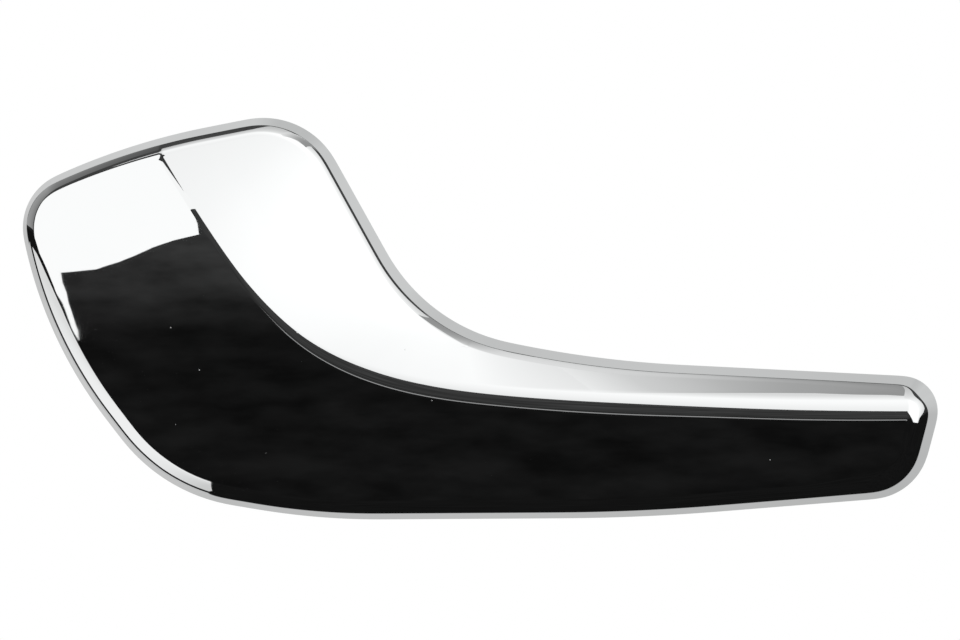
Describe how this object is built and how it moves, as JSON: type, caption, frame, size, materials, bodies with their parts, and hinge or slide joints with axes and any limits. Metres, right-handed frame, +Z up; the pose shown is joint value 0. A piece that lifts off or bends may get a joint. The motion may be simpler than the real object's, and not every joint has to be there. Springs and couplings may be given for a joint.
{
  "type": "car interior door handle",
  "caption": "Curved chrome-plated pull lever with a creased face, hinged on a black plastic bracket with a sprung pin, cable crank and rubber stops, for opening a car door from inside",
  "frame": {"origin": "Middle of the upper and lower screw holes, in the plane of the bracket's back face that lies on the door", "axes": "X along the lever from the hinge end to the finger end, Y into the door, Z up, with the chrome face towards -Y"},
  "size_m": [0.1558, 0.0493, 0.0683],
  "materials": {
    "chrome_plate": "polished",
    "black_nylon": "matte",
    "zinc_steel": "satin",
    "spring_steel": "satin",
    "black_rubber": "matte"
  },
  "bodies": {
    "bracket": {"hinge_bracket": "black_nylon", "hinge_pin": "zinc_steel", "pin_ring": "zinc_steel", "return_spring": "spring_steel", "rest_bumper": "black_rubber", "stop_bumper": "black_rubber"},
    "lever": {"chrome_shell": "chrome_plate", "back_cover": "black_nylon", "cover_screws": "zinc_steel"}
  },
  "joints": [
    {"name": "lever_hinge", "type": "hinge", "parent": "bracket", "child": "lever", "pos_m": [-0.017, -0.012, 0.004], "axis": [0, 0, -1], "range_deg": [0, 40], "stiffness_Nm_per_rad": 0.5, "springref_deg": -20.05, "deforming": ["return_spring"]}
  ]
}
